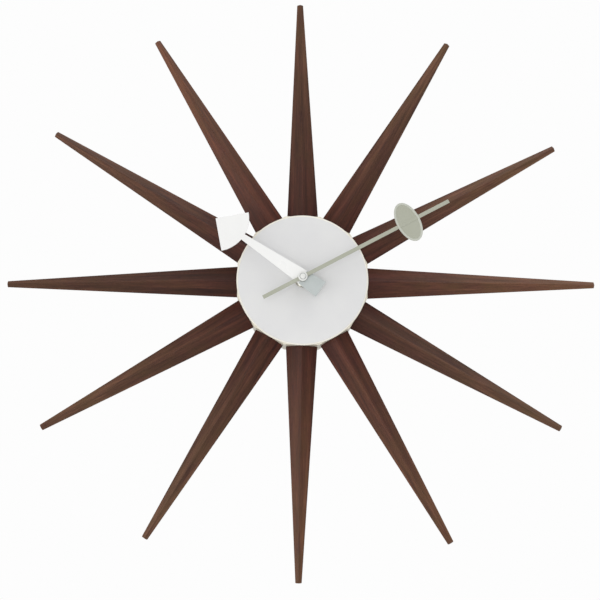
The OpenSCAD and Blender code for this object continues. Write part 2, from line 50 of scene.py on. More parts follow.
HOURS = 12
TINY = 1e-7
SHARP_ANGLE = math.radians(32)
DRUM_ANGLE = math.radians(25)       # less than the 30 degrees at each corner of the drum
FLAT_ANGLE = math.radians(0.5)      # faces that meet at less than this are one flat face
CORNER_GAP = 0.002 * MM             # corners closer than this are one corner
SLIVER = 0.0002 * MM                # narrower faces than this are closed up after rounding
HAND_END = 1 * MM                   # corners within this of a hand's end belong to the end
FAR_END = 6 * MM                    # the same for the end that lies farthest out

# ---- sizes read from the frame, and the few that it doesn't hold ----

spike_low, spike_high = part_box("spike_12")
SPIKE_BASE = spike_low.z
SPIKE_HALF_W = spike_high.x
SPIKE_HALF_D = (spike_high.y - spike_low.y) / 2
SPIKE_MIDDLE = -(spike_high.y + spike_low.y) / 2
TIP_SHARE = 5.1 / 25.2              # width of the tip as a share of the width at the drum
SCREW_R, SCREW_DEPTH = 1.77 * MM, 18.5 * MM
PIN_R, PIN_DEPTH, PIN_RISE = 1.27 * MM, 5.5 * MM, 6.5 * MM

# How dark and how warm each spike's wood is, from 1 o'clock round to 12.
TONES = (1.01, 1.28, 1.19, 0.98, 1.03, 0.90, 1.06, 0.97, 0.72, 0.99, 1.01, 0.80)
WARMTH = (-0.05, -0.10, 0.00, -0.10, 0.10, 0.12, -0.10, -0.05, 0.08, 0.02, 0.25, 0.08)
WARM_SHIFT = Vector((0.35, -0.35, -0.65))   # what a warmth of 1 adds to red, green and blue
# BASE_TONE and TIP_TONE paint shade along each spike: darkest at the drum, where the dial and the
# neighbouring spikes shade the wood, and paler towards the tip.
BASE_TONE = Vector((0.86, 0.70, 0.77))      # shares of the wood's red, green and blue at the drum
TIP_TONE = Vector((0.79, 1.50, 1.30))       # what is added to those shares at the tip


def depths(node):
    """Distance from the wall of a CAD node's back and front."""
    low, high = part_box(node)
    return -high.y, -low.y


def facing(angle):
    """Stands up a piece drawn face up, with its +X towards an angle clockwise from 12, in degrees."""
    turn = math.radians(angle)
    return Matrix((
        (math.sin(turn), -math.cos(turn), 0, 0),
        (0, 0, -1, 0),
        (math.cos(turn), math.sin(turn), 0, 0),
        (0, 0, 0, 1),
    ))


FACE_UP = facing(90)                # local +Y is then towards 12 o'clock


def corners_of(node):
    return [vertex.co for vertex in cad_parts[node].data.vertices]


def laid_flat(node, angle):
    """Corners of a CAD node as they lie before it is stood up by facing(angle)."""
    lay = facing(angle).transposed()
    return [lay @ co for co in corners_of(node)]


def direction_of(place):
    """Angle clockwise from 12 of a place, in degrees."""
    return math.degrees(math.atan2(place.x, place.z))


def far_end(node):
    """Middle of the corners that lie farthest from the axis of the hands."""
    corners = {tuple(round(x, 6) for x in co) for co in corners_of(node)}
    reach = max(math.hypot(x, z) for x, y, z in corners)
    far = [Vector(co) for co in corners if math.hypot(co[0], co[2]) > reach - FAR_END]
    return sum(far, Vector()) / len(far)


def lying_along_x(node):
    """Length, radius and matrix of a round CAD node. Its local z runs along X from its left end."""
    low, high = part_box(node)
    left = Matrix.Translation((low.x, (low.y + high.y) / 2, (low.z + high.z) / 2))
    return high.x - low.x, (high.z - low.z) / 2, left @ Matrix.Rotation(math.radians(90), 4, "Y")


# ---- outlines and meshes ----

def arc(centre, radius, start, end, steps):
    """Points on a circle from one angle to another, in degrees, with both ends."""
    angles = [math.radians(start + (end - start) * i / steps) for i in range(steps + 1)]
    return [(centre[0] + radius * math.cos(a), centre[1] + radius * math.sin(a)) for a in angles]


def circle(radius, steps, centre=(0, 0)):
    """Points all the way round a circle."""
    return arc(centre, radius, 0, 360, steps)[:-1]


def rounded(outline, radii, steps):
    """A closed outline with each corner replaced by an arc of its own radius."""
    made = []
    for i, place in enumerate(outline):
        corner = Vector(place)
        back = (Vector(outline[i - 1]) - corner).normalized()
        ahead = (Vector(outline[(i + 1) % len(outline)]) - corner).normalized()
        half = back.angle(ahead) / 2
        centre = corner + (back + ahead).normalized() * radii[i] / math.sin(half)
        first = corner + back * radii[i] / math.tan(half) - centre
        last = corner + ahead * radii[i] / math.tan(half) - centre
        turn = first.angle_signed(last)
        for step in range(steps + 1):
            spoke = first.copy()
            spoke.rotate(Matrix.Rotation(-turn * step / steps, 2))
            made.append(tuple(centre + spoke))
    return made


def ring(bm, matrix, points):
    return [bm.verts.new(matrix @ Vector(point)) for point in points]


def level_ring(bm, matrix, radius, height, steps):
    """A ring round the local Z axis at one height. At radius 0 it is a pole."""
    outline = [(0, 0)] if radius < TINY else circle(radius, steps)
    return ring(bm, matrix, [(x, y, height) for x, y in outline])


def loft(bm, rings, closed=False):
    """Joins rings of vertices with quads. A ring of one vertex is a pole."""
    pairs = list(zip(rings, rings[1:]))
    if closed:
        pairs.append((rings[-1], rings[0]))
    for low, high in pairs:
        count = max(len(low), len(high))
        for i in range(count):
            j = (i + 1) % count
            corners = [low[i % len(low)], low[j % len(low)], high[j % len(high)], high[i % len(high)]]
            corners = list(dict.fromkeys(corners))
            if len(corners) > 2:
                bm.faces.new(corners)


def lathe(bm, profile, matrix, steps, closed=False):
    """Turns (radius, height) points round the local Z axis."""
    loft(bm, [level_ring(bm, matrix, *point, steps) for point in profile], closed)


def fill_between(bm, loops):
    """Fills the flat space between an outer loop of vertices and the loops inside it."""
    edges = []
    for loop in loops:
        for i, vertex in enumerate(loop):
            other = loop[(i + 1) % len(loop)]
            edges.append(bm.edges.get((vertex, other)) or bm.edges.new((vertex, other)))
    bmesh.ops.triangle_fill(bm, use_beauty=True, edges=edges)


def plate(bm, outlines, low, thickness, edge):
    """A flat sheet with holes and rounded edges. The first outline is the outer one."""
    curve = bpy.data.curves.new("plate_outline", "CURVE")
    curve.dimensions = "2D"
    curve.fill_mode = "BOTH"
    curve.extrude = thickness / 2 - edge
    curve.bevel_depth = edge
    curve.bevel_resolution = 2
    curve.offset = -edge
    for outline in outlines:
        spline = curve.splines.new("POLY")
        spline.points.add(len(outline) - 1)
        for point, place in zip(spline.points, outline):
            point.co = (place[0], place[1], 0, 1)
        spline.use_cyclic_u = True
    drawn = bpy.data.objects.new("plate_outline", curve)
    mesh = bpy.data.meshes.new_from_object(drawn)
    mesh.transform(Matrix.Translation((0, 0, low + thickness / 2)))
    bm.from_mesh(mesh)
    bmesh.ops.remove_doubles(bm, verts=bm.verts, dist=edge / 20)
    bpy.data.objects.remove(drawn)
    bpy.data.curves.remove(curve)
    bpy.data.meshes.remove(mesh)


def threaded(bm, radius, before, after, low, high, pitch, matrix):
    """A thread between two heights, closed by plain (radius, height) rings before and after it."""
    steps, rows_per_turn = 48, 6
    depth = 0.54 * pitch
    rows = round((high - low) / pitch * rows_per_turn)
    rings = [level_ring(bm, matrix, *point, steps) for point in before]
    for row in range(rows + 1):
        height = low + (high - low) * row / rows
        run_out = min(1, min(row, rows - row) / rows_per_turn)
        points = []
        for i in range(steps):
            phase = (height / pitch - i / steps) % 1
            ridge = 1 - abs(2 * phase - 1)
            reach = radius - depth * (1 - ridge * run_out)
            turn = 2 * math.pi * i / steps
            points.append((reach * math.cos(turn), reach * math.sin(turn), height))
        rings.append(ring(bm, matrix, points))
    rings += [level_ring(bm, matrix, *point, steps) for point in after]
    loft(bm, rings, closed=True)


def piece(name, bm, materials, body, slot, *nodes):
    """Makes an object of a finished bmesh, puts it on its body and hides the CAD nodes that it stands for."""
    bmesh.ops.recalc_face_normals(bm, faces=bm.faces)
    mesh = bpy.data.meshes.new(name)
    bm.to_mesh(mesh)
    bm.free()
    mesh.shade_smooth()
    mesh.set_sharp_from_angle(angle=SHARP_ANGLE)
    for material in materials:
        mesh.materials.append(material)
    made = bpy.data.objects.new(name, mesh)
    bpy.context.scene.collection.objects.link(made)
    weighted = made.modifiers.new("weighted_normals", "WEIGHTED_NORMAL")
    weighted.keep_sharp = True
    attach(made, body)
    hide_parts(*nodes)


def soften(node, material, edge, sharp_angle=SHARP_ANGLE):
    """Gives a CAD node its material and a small round on its sharp edges."""
    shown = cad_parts[node]
    shown.data.materials.clear()
    shown.data.materials.append(material)
    weld = shown.modifiers.new("join_corners", "WELD")
    weld.merge_threshold = CORNER_GAP
    flat = shown.modifiers.new("join_flats", "DECIMATE")
    flat.decimate_type = "DISSOLVE"
    flat.angle_limit = FLAT_ANGLE
    bevel = shown.modifiers.new("round_edges", "BEVEL")
    bevel.width = edge
    bevel.segments = 2
    bevel.limit_method = "ANGLE"
    bevel.angle_limit = sharp_angle
    bevel.use_clamp_overlap = True
    slivers = shown.modifiers.new("join_slivers", "WELD")
    slivers.merge_threshold = SLIVER
    weighted = shown.modifiers.new("weighted_normals", "WEIGHTED_NORMAL")
    weighted.keep_sharp = True


# ---- materials ----

def paint(red, green, blue):
    """A colour given as the eye sees it, 0 to 255, as the linear colour that shaders take."""
    def linear(value):
        share = value / 255
        return share / 12.92 if share <= 0.04045 else ((share + 0.055) / 1.055) ** 2.4

    return (linear(red), linear(green), linear(blue), 1)


class Finish:
    """A Principled material. Plain numbers go straight on the shader's own sockets."""

    def __init__(self, name, colour, roughness, metallic=0.0, **sockets):
        self.material = bpy.data.materials.new(name)
        self.material.use_nodes = True
        self.nodes = self.material.node_tree.nodes
        self.links = self.material.node_tree.links
        self.shader = self.nodes["Principled BSDF"]
        self.shader.inputs["Base Color"].default_value = colour
        self.shader.inputs["Roughness"].default_value = roughness
        self.shader.inputs["Metallic"].default_value = metallic
        for socket, value in sockets.items():
            self.shader.inputs[socket.replace("_", " ").title()].default_value = value

    def node(self, kind, inputs, **settings):
        made = self.nodes.new(kind)
        for name, value in settings.items():
            setattr(made, name, value)
        for socket, value in inputs.items():
            if isinstance(value, bpy.types.NodeSocket):
                self.links.new(value, made.inputs[socket])
            else:
                made.inputs[socket].default_value = value
        return made

    def place(self, scale=(1, 1, 1), attribute=None):
        """Texture coordinates in metres, stretched by a scale along each axis."""
        if attribute:
            source = self.node("ShaderNodeAttribute", {}, attribute_name=attribute).outputs["Vector"]
        else:
            source = self.node("ShaderNodeTexCoord", {}).outputs["Object"]
        return self.node("ShaderNodeMapping", {"Vector": source, "Scale": scale}).outputs["Vector"]

    def noise(self, vector, scale=1.0, detail=2.0, roughness=0.5, distortion=0.0):
        inputs = {"Vector": vector, "Scale": scale, "Detail": detail, "Roughness": roughness,
                  "Distortion": distortion}
        return self.node("ShaderNodeTexNoise", inputs).outputs["Fac"]

    def cells(self, vector, scale):
        return self.node("ShaderNodeTexVoronoi", {"Vector": vector, "Scale": scale}).outputs["Color"]

    def level(self, value, low, high, to_low=0.0, to_high=1.0):
        """Stretches the part of a value between low and high, and clamps the rest."""
        inputs = {"Value": value, "From Min": low, "From Max": high, "To Min": to_low, "To Max": to_high}
        return self.node("ShaderNodeMapRange", inputs).outputs["Result"]

    def maths(self, operation, first, second):
        return self.node("ShaderNodeMath", {0: first, 1: second}, operation=operation).outputs[0]

    def mix(self, share, first, second, blend="MIX"):
        """Mixes two colours. The node takes them on sockets 6 and 7 and gives its colour on output 2."""
        made = self.node("ShaderNodeMix", {}, data_type="RGBA", blend_type=blend)
        for socket, value in ((0, share), (6, first), (7, second)):
            if isinstance(value, bpy.types.NodeSocket):
                self.links.new(value, made.inputs[socket])
            else:
                made.inputs[socket].default_value = value
        return made.outputs[2]

    def colours(self, value, *stops):
        """A colour ramp. Each stop is a place from 0 to 1 and a colour."""
        made = self.node("ShaderNodeValToRGB", {"Fac": value})
        ramp = made.color_ramp
        while len(ramp.elements) < len(stops):
            ramp.elements.new(0.5)
        for element, (place, colour) in zip(ramp.elements, stops):
            element.position = place
            element.color = colour
        return made.outputs["Color"]

    def grey(self, value):
        return self.node("ShaderNodeCombineColor", {"Red": value, "Green": value, "Blue": value}).outputs[0]

    def bump(self, height, distance, strength, under=None):
        inputs = {"Height": height, "Distance": distance, "Strength": strength}
        if under:
            inputs["Normal"] = under
        return self.node("ShaderNodeBump", inputs).outputs["Normal"]

    def set(self, socket, output):
        self.links.new(output, self.shader.inputs[socket])


def wood(name):
    """Dark satin walnut. The grain attribute runs along each spike, and tone tells the spikes apart and
    carries painted shade that darkens each spike towards the drum.
    """
    made = Finish(name, paint(72, 40, 30), 0.45)
    made.shader.inputs["Specular IOR Level"].default_value = 0.25
    bands = made.noise(made.place((7, 230, 230), "grain"), detail=3, distortion=0.6)
    fibres = made.noise(made.place((38, 1500, 1500), "grain"), detail=4, roughness=0.6)
    pores = made.noise(made.place((230, 3800, 3800), "grain"), detail=1)
    blotches = made.noise(made.place((55, 110, 110), "grain"), detail=2)
    band_share = 0.55
    wide = made.maths("MULTIPLY", bands, band_share)
    fine = made.maths("MULTIPLY", fibres, 1 - band_share)
    streaks = made.maths("ADD", wide, fine)
    grain = made.colours(
        streaks,
        (0.30, paint(44, 21, 16)),
        (0.46, paint(70, 38, 29)),
        (0.56, paint(86, 49, 37)),
        (0.72, paint(110, 68, 50)),
    )
    olive = made.mix(made.level(blotches, 0.35, 0.75, 0.0, 0.55), grain, paint(74, 48, 28))
    pore_marks = made.level(pores, 0.30, 0.40, 0.62, 1.0)
    marked = made.mix(1.0, olive, made.grey(pore_marks), "MULTIPLY")
    tone = made.node("ShaderNodeAttribute", {}, attribute_name="tone").outputs["Color"]
    made.set("Base Color", made.mix(1.0, marked, tone, "MULTIPLY"))
    made.set("Roughness", made.level(fibres, 0.3, 0.7, 0.38, 0.54))
    deep = made.bump(pore_marks, distance=0.06 * MM, strength=0.7)
    made.set("Normal", made.bump(fibres, distance=0.03 * MM, strength=0.6, under=deep))
    return made.material


def lacquer(name, colour, shade, roughness, ripple=0.02):
    """Sprayed lacquer: nearly even, with a faint cloudiness, orange peel and a few settled specks."""
    made = Finish(name, colour, roughness, coat_weight=0.3, coat_roughness=0.22)
    clouds = made.noise(made.place(), scale=45, detail=3)
    specks = made.noise(made.place(), scale=1900, detail=1)
    peel = made.noise(made.place(), scale=420, detail=2)
    even = made.mix(made.level(clouds, 0.3, 0.7), colour, shade)
    made.set("Base Color", made.mix(made.level(specks, 0.70, 0.80, 0.0, 0.5), even, shade))
    made.set("Roughness", made.level(clouds, 0.3, 0.7, roughness - 0.04, roughness + 0.05))
    made.set("Normal", made.bump(peel, distance=ripple * MM, strength=0.5))
    return made.material


def metal(name, colour, shade, roughness, brushed=(1, 1, 1), depth=0.01):
    """Bare or plated metal with fine marks, stretched along the way it was brushed or turned."""
    made = Finish(name, colour, roughness, metallic=1.0)
    marks = made.noise(made.place(tuple(2600 * share for share in brushed)), detail=3, roughness=0.6)
    stains = made.noise(made.place(), scale=160, detail=3)
    made.set("Base Color", made.mix(made.level(stains, 0.35, 0.75), colour, shade))
    made.set("Roughness", made.level(marks, 0.3, 0.7, roughness - 0.06, roughness + 0.10))
    made.set("Normal", made.bump(marks, distance=depth * MM, strength=0.5))
    return made.material


def turned(name, colour, shade, roughness):
    """Metal turned on a lathe: fine rings round the axis of the hands."""
    made = Finish(name, colour, roughness, metallic=1.0)
    source = made.node("ShaderNodeTexCoord", {}).outputs["Object"]
    parts = made.node("ShaderNodeSeparateXYZ", {"Vector": source})
    squares = [made.maths("MULTIPLY", parts.outputs[axis], parts.outputs[axis]) for axis in "XZ"]
    radius = made.maths("SQRT", made.maths("ADD", *squares), 0)
    outwards = made.node("ShaderNodeCombineXYZ", {"X": radius}).outputs["Vector"]
    rings = made.noise(outwards, scale=5200, detail=2)
    stains = made.noise(made.place(), scale=240, detail=2)
    made.set("Base Color", made.mix(made.level(stains, 0.35, 0.75), colour, shade))
    made.set("Roughness", made.level(rings, 0.3, 0.7, roughness - 0.05, roughness + 0.08))
    made.set("Normal", made.bump(rings, distance=0.006 * MM, strength=0.5))
    return made.material


def sheet_steel(name):
    """Zinc-plated sheet: large faint crystals, rolling lines and a few rubbed marks."""
    made = Finish(name, paint(188, 191, 194), 0.36, metallic=1.0)
    crystals = made.cells(made.place(), scale=260)
    grey = made.node("ShaderNodeRGBToBW", {"Color": crystals}).outputs["Val"]
    lines = made.noise(made.place((60, 2400, 2400)), detail=3)
    rubbed = made.noise(made.place((18, 90, 90)), detail=4, roughness=0.7)
    plated = made.mix(made.level(grey, 0.1, 0.9), paint(176, 180, 184), paint(204, 206, 207))
    made.set("Base Color", made.mix(made.level(rubbed, 0.55, 0.8, 0, 0.5), plated, paint(150, 153, 156)))
    gloss = made.maths("ADD", made.level(grey, 0, 1, 0.28, 0.40), made.level(lines, 0.3, 0.7, -0.04, 0.06))
    made.set("Roughness", gloss)
    made.set("Normal", made.bump(lines, distance=0.008 * MM, strength=0.4))
    return made.material


def moulded(name, colour, shade, roughness, texture=0.02, scale=2100):
    """Moulded plastic or rubber: a spark-eroded texture and slightly uneven colour."""
    made = Finish(name, colour, roughness)
    pits = made.noise(made.place(), scale=scale, detail=2)
    flow = made.noise(made.place((40, 90, 90)), detail=3)
    made.set("Base Color", made.mix(made.level(flow, 0.3, 0.7), colour, shade))
    made.set("Roughness", made.level(flow, 0.3, 0.7, roughness - 0.05, roughness + 0.07))
    made.set("Normal", made.bump(pits, distance=texture * MM, strength=0.6))
    return made.material


def circuit(name):
    """Green solder mask over raised copper tracks in a plain grid."""
    made = Finish(name, paint(44, 88, 58), 0.35, coat_weight=0.3, coat_roughness=0.2)
    tracks = made.node("ShaderNodeTexBrick", {
        "Vector": made.place(), "Scale": 260.0, "Mortar Size": 0.06, "Mortar Smooth": 0.3,
    }).outputs["Fac"]
    haze = made.noise(made.place(), scale=900)
    made.set("Base Color", made.mix(tracks, paint(34, 74, 48), paint(78, 128, 84)))
    made.set("Roughness", made.level(haze, 0.3, 0.7, 0.30, 0.42))
    made.set("Normal", made.bump(tracks, distance=0.04 * MM, strength=0.8))
    return made.material


def battery_jacket(name, band_from, grey, dark):
    """Printed foil: grey, then a dark band up to the + end, with slight ripples."""
    made = Finish(name, grey, 0.3, metallic=0.5, coat_weight=0.6, coat_roughness=0.12)
    source = made.node("ShaderNodeTexCoord", {}).outputs["Object"]
    along = made.node("ShaderNodeSeparateXYZ", {"Vector": source}).outputs["X"]
    band = made.level(along, band_from, band_from + 0.1 * MM)
    print_dots = made.noise(made.place(), scale=1600, detail=1)
    ripples = made.noise(made.place((30, 300, 300)), detail=3)
    body = made.mix(made.level(print_dots, 0.3, 0.7, 0, 0.12), grey, dark)
    made.set("Base Color", made.mix(band, body, dark))
    made.set("Roughness", made.level(print_dots, 0.3, 0.7, 0.24, 0.34))
    made.set("Normal", made.bump(ripples, distance=0.03 * MM, strength=0.4))
    return made.material


# ---- wooden spikes ----

def spike_section(half_w, half_d, sway):
    """Outline of a spike across its length, with softened side edges and ridges."""
    corners = [(half_w, 0), (sway, half_d), (-half_w, 0), (-sway, -half_d)]
    side, ridge = 0.15 * MM, 0.5 * MM
    return rounded(corners, [side, ridge, side, ridge], steps=3)


def spike_place(hour):
    """Matrix, length and lean of a spike. It is drawn along X, and the lean is in radians."""
    angle = hour * 360 / HOURS
    spoke = facing(angle).col[0].to_3d()
    base = spoke * SPIKE_BASE + Vector((0, -SPIKE_MIDDLE, 0))
    along = far_end(f"spike_{hour:02d}") - base
    lean = (direction_of(along) - angle + 180) % 360 - 180
    return Matrix.Translation(base) @ facing(angle + lean), along.length, math.radians(lean)


def spike_cuts(length, lean, phase):
    """Outlines across a spike from its base to its tip. The first three follow the drum's flat."""
    base_edge, tip_edge, body_from, body_cuts = 0.3 * MM, 0.5 * MM, 2 * MM, 24
    sway_by, sway_turn = 0.12 * MM, 9
    body = length - tip_edge - body_from
    places = [(0, base_edge, True), (base_edge * 0.3, base_edge * 0.3, True), (base_edge, 0, True)]
    places += [(body_from + body * i / body_cuts, 0, False) for i in range(body_cuts + 1)]
    for turn in (30, 60, 90):
        swing = math.radians(turn)
        place = length - tip_edge * (1 - math.sin(swing))
        places.append((place, tip_edge * (1 - math.cos(swing)), False))
    to_face = SPIKE_HALF_W * SPIKE_HALF_D / math.hypot(SPIKE_HALF_W, SPIKE_HALF_D)
    cuts = []
    for place, inset, on_flat in places:
        size = 1 - (1 - TIP_SHARE) * place / length - inset / to_face
        sway = sway_by * math.sin(phase + sway_turn * place / length)
        slope = math.tan(lean) if on_flat else 0
        section = spike_section(SPIKE_HALF_W * size, SPIKE_HALF_D * size, sway)
        cuts.append([(place - across * slope, across, depth) for across, depth in section])
    return cuts


def close_base(bm, base, lean):
    """Fills the base of a spike, round a screw hole and a pin hole."""
    slope = math.tan(lean)
    mouths = []
    for radius, rise, depth in ((SCREW_R, 0, SCREW_DEPTH), (PIN_R, PIN_RISE, PIN_DEPTH)):
        outline = circle(radius, 32, (0, rise))
        mouth = ring(bm, Matrix(), [(-across * slope, across, height) for across, height in outline])
        end = ring(bm, Matrix(), [(depth, across, height) for across, height in outline])
        loft(bm, [mouth, end])
        bm.faces.new(end)
        mouths.append(mouth)
    fill_between(bm, [base, *mouths])


def grain_and_tone(bm, hour, length, offset):
    """Keeps each corner's place in its own plank, and how light and how warm the wood is there, with painted
    shade that darkens each spike towards the drum.
    """
    grain = bm.verts.layers.float_vector.new("grain")
    tone = bm.verts.layers.float_vector.new("tone")
    tint = TONES[hour - 1] * (Vector((1, 1, 1)) + WARMTH[hour - 1] * WARM_SHIFT)
    for vertex in bm.verts:
        share = vertex.co.x / length
        # Painted shade: the wood is darkest at the drum, where the dial and the neighbouring spikes shade it,
        # and grows paler and greyer towards the tip.
        painted_shade_lift = share * (1.5 - share / 2)
        vertex[grain] = vertex.co + offset
        vertex[tone] = tint * (BASE_TONE + painted_shade_lift * TIP_TONE)


def walnut_spike(hour, material):
    chance = random.Random(hour)
    matrix, length, lean = spike_place(hour)
    phase = chance.uniform(0, 2 * math.pi)
    bm = bmesh.new()
    rings = [ring(bm, Matrix(), cut) for cut in spike_cuts(length, lean, phase)]
    loft(bm, rings)
    bm.faces.new(rings[-1])
    close_base(bm, rings[0], lean)
    grain_and_tone(bm, hour, length, Vector([chance.uniform(-0.5, 0.5) for _ in range(3)]))
    bm.transform(matrix)
    node = f"spike_{hour:02d}"
    piece(f"walnut_{node}", bm, [material], "clock_body", "spike_walnut", node)


# ---- dial, hands and hub ----

def peg(bm, centre, radius, low, high, edge):
    """A closed round peg on the dial's axis or beside it, with chamfered ends."""
    profile = [(0, low), (radius - edge, low), (radius, low + edge), (radius, high - edge),
               (radius - edge, high), (0, high)]
    lathe(bm, profile, FACE_UP @ Matrix.Translation((*centre, 0)), steps=32)


def dial(face, rim):
    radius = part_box("dial_disc")[1].x
    foot_back, front = depths("dial_disc")
    back = depths("drum_case")[1]
    hole, edge, corner, bead = 4.1 * MM, 0.15 * MM, 0.45 * MM, 0.85 * MM
    rim_w, groove, groove_from, groove_to = 1.5 * MM, 0.14 * MM, 0.1 * MM, 0.25 * MM
    foot_at, foot_r, foot_edge, foot_root = 34 * MM, 1.2 * MM, 0.2 * MM, 0.4 * MM
    inner = radius - rim_w
    rim_from = inner + 0.2 * MM
    profile = [(hole, back), (radius - corner, back)]
    profile += arc((radius - corner, back + corner), corner, -90, 0, 4)[1:]
    profile += arc((radius - bead, front - bead), bead, 0, 90, 8)
    profile += [(radius - bead - edge, front - 0.03 * MM), (inner + groove_to, front - groove)]
    profile += [(inner + groove_from, front - groove), (inner, front - 0.02 * MM)]
    profile += [(inner - 0.12 * MM, front), (radius * 0.6, front)]
    profile += [(hole + edge, front), (hole, front - edge)]
    bm = bmesh.new()
    lathe(bm, profile, FACE_UP, steps=240, closed=True)
    for foot in (-foot_at, foot_at):
        peg(bm, (foot, 0), foot_r, foot_back, back + foot_root, foot_edge)
    # Faces of the rolled rim take the paler paint: a painted highlight where the bead catches the light.
    for f in bm.faces:
        middle = f.calc_center_median()
        f.material_index = int(math.hypot(middle.x, middle.z) > rim_from)
    piece("dial_face", bm, [face, rim], "clock_body", "dial_lacquer", "dial_disc")


def hour_hand(arm, tail_painted_reflection):
    node = "hour_hand"
    angle = direction_of(max(corners_of(node), key=lambda co: co.x ** 2 + co.z ** 2))
    back, front = depths(node)
    local = laid_flat(node, angle)
    reach = max(co.x for co in local)
    tail = min(co.x for co in local)
    tail_half = max(abs(co.y) for co in local if co.x < tail + HAND_END)
    radius = max(abs(co.y) for co in local) * math.sqrt(2)
    arm_half, seat, edge = 2.5 * MM, 3.22 * MM, 0.13 * MM
    side = math.degrees(math.asin(arm_half / radius))
    outline = [(tail, -tail_half)]
    outline += arc((reach, 0), radius, 180 + side, 225, 12)
    outline += [(reach, 0)]
    outline += arc((reach, 0), radius, 135, 180 - side, 12)
    outline += [(tail, tail_half)]
    bm = bmesh.new()
    plate(bm, [outline, circle(seat, 48)], back, front - back, edge)
    geometry = [*bm.verts, *bm.edges, *bm.faces]
    bmesh.ops.bisect_plane(bm, geom=geometry, plane_co=(0, 0, 0), plane_no=(1, 0, 0), dist=TINY)
    # Faces behind the pivot take the darker grey of the tail: a painted reflection, as the real tail mirrors
    # darker surroundings than the arm.
    for f in bm.faces:
        f.material_index = int(f.calc_center_median().x < 0)
    bm.transform(facing(angle))
    piece("hour_hand_plate", bm, [arm, tail_painted_reflection], "hour_work", "hour_hand_lacquer", node)


def joined(first, second):
    """One closed bmesh made of two. Both are freed."""
    drawn = []
    for bm in (first, second):
        bmesh.ops.recalc_face_normals(bm, faces=bm.faces)
        mesh = bpy.data.meshes.new("joined")
        bm.to_mesh(mesh)
        bm.free()
        made = bpy.data.objects.new("joined", mesh)
        bpy.context.scene.collection.objects.link(made)
        drawn.append(made)
    join = drawn[0].modifiers.new("join", "BOOLEAN")
    join.operation = "UNION"
    join.object = drawn[1]
    join.solver = "EXACT"
    evaluated = drawn[0].evaluated_get(bpy.context.evaluated_depsgraph_get())
    result = bpy.data.meshes.new_from_object(evaluated)
    bm = bmesh.new()
    bm.from_mesh(result)
    for made in drawn:
        bpy.data.objects.remove(made)
    bpy.data.meshes.remove(result)
    return bm


def oval_plate(centre, half_along, half_across, low, high):
    """An oval with a raised rim round a shallow panel."""
    panel, edge, steps = 0.22 * MM, 0.15 * MM, 96
    rim_w = 1.5 * MM
    profile = [(half_across, low), (0, low + edge), (0, high - edge), (edge, high), (rim_w - edge, high)]
    profile += [(rim_w, high - 0.4 * panel), (rim_w + edge, high - panel), (half_across, high - panel)]
    bm = bmesh.new()
    rings = []
    for inset, height in profile:
        if inset >= half_across:
            rings.append(ring(bm, Matrix(), [(centre, 0, height)]))
            continue
        along, across = half_along - inset, half_across - inset
        points = [(centre + along * x, across * y, height) for x, y in circle(1, steps)]
        rings.append(ring(bm, Matrix(), points))
    loft(bm, rings)
    return bm


def minute_hand(bar_paint, rim_highlight_paint):
    node = "minute_hand"
    angle = direction_of(far_end(node))
    back, front = depths(node)
    local = laid_flat(node, angle)
    reach = max(co.x for co in local)
    tail = min(co.x for co in local)
    half = max(abs(co.y) for co in local if co.x > reach - HAND_END)
    beside_bar = 4 * MM
    oval = [co for co in local if abs(co.y) > beside_bar]
    oval_across = max(co.y for co in oval)
    oval_low, oval_high = min(co.x for co in oval), max(co.x for co in oval)
    centre = (oval_low + oval_high) / 2
    oval_along = (oval_high - oval_low) / 2 / math.sqrt(1 - (beside_bar / oval_across) ** 2)
    eye, seat, edge, sunk = 3.5 * MM, 2.12 * MM, 0.13 * MM, 0.02 * MM
    rim_inset, rim_reach = 1.6 * MM, -0.1 * MM
    side = math.degrees(math.asin(half / eye))
    outline = [(tail, -half), *arc((0, 0), eye, 180 + side, 360 - side, 16), (reach, -half)]
    outline += [(reach, half), *arc((0, 0), eye, side, 180 - side, 16), (tail, half)]
    bar = bmesh.new()
    plate(bar, [outline, circle(seat, 48)], back, front - back - sunk, edge)
    bm = joined(bar, oval_plate(centre, oval_along, oval_across, back, front))

    def inside_oval(place, inset):
        return math.hypot((place.x - centre) / (oval_along - inset), place.y / (oval_across - inset)) <= 1

    # The raised rim of the oval takes the paler sage: a painted highlight where the rim catches the light.
    for f in bm.faces:
        middle = f.calc_center_median()
        on_rim = inside_oval(middle, rim_reach) and not inside_oval(middle, rim_inset)
        f.material_index = int(on_rim)
    bm.transform(facing(angle))
    piece("minute_hand_plate", bm, [bar_paint, rim_highlight_paint], "minute_work", "minute_hand_lacquer", node)


def hand_cap(white, ring_paint):
    low, high = depths("hand_cap")
    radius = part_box("hand_cap")[1].x
    hole, hole_depth = 1.27 * MM, 1.4 * MM
    edge, shoulder, rounding, dome = 0.2 * MM, 1.0 * MM, 0.5 * MM, 0.45 * MM
    top_from = high - 0.8 * MM
    ring_out, ring_in, groove, slope = radius - 1.05 * MM, radius - 1.55 * MM, high - 0.72 * MM, 0.05 * MM
    profile = [(0, low + hole_depth), (hole, low + hole_depth), (hole, low), (radius - edge, low)]
    profile += [(radius, low + edge), (radius, high - shoulder)]
    profile += arc((radius - rounding, high - shoulder), rounding, 0, 80, 4)[1:]
    profile += [(ring_out, high - 0.48 * MM), (ring_out - slope, groove), (ring_in + slope, groove)]
    crown = [(ring_in * math.cos(a), high - dome + dome * math.sin(a))
             for a in [math.radians(10 * i) for i in range(9)]]
    profile += [*crown, (0, high)]
    bm = bmesh.new()
    lathe(bm, profile, FACE_UP, steps=72)
    for f in bm.faces:
        middle = f.calc_center_median()
        out = math.hypot(middle.x, middle.z)
        f.material_index = int(-middle.y > top_from and ring_in < out < ring_out)
    piece("domed_cap", bm, [white, ring_paint], "minute_work", "cap_lacquer", "hand_cap")


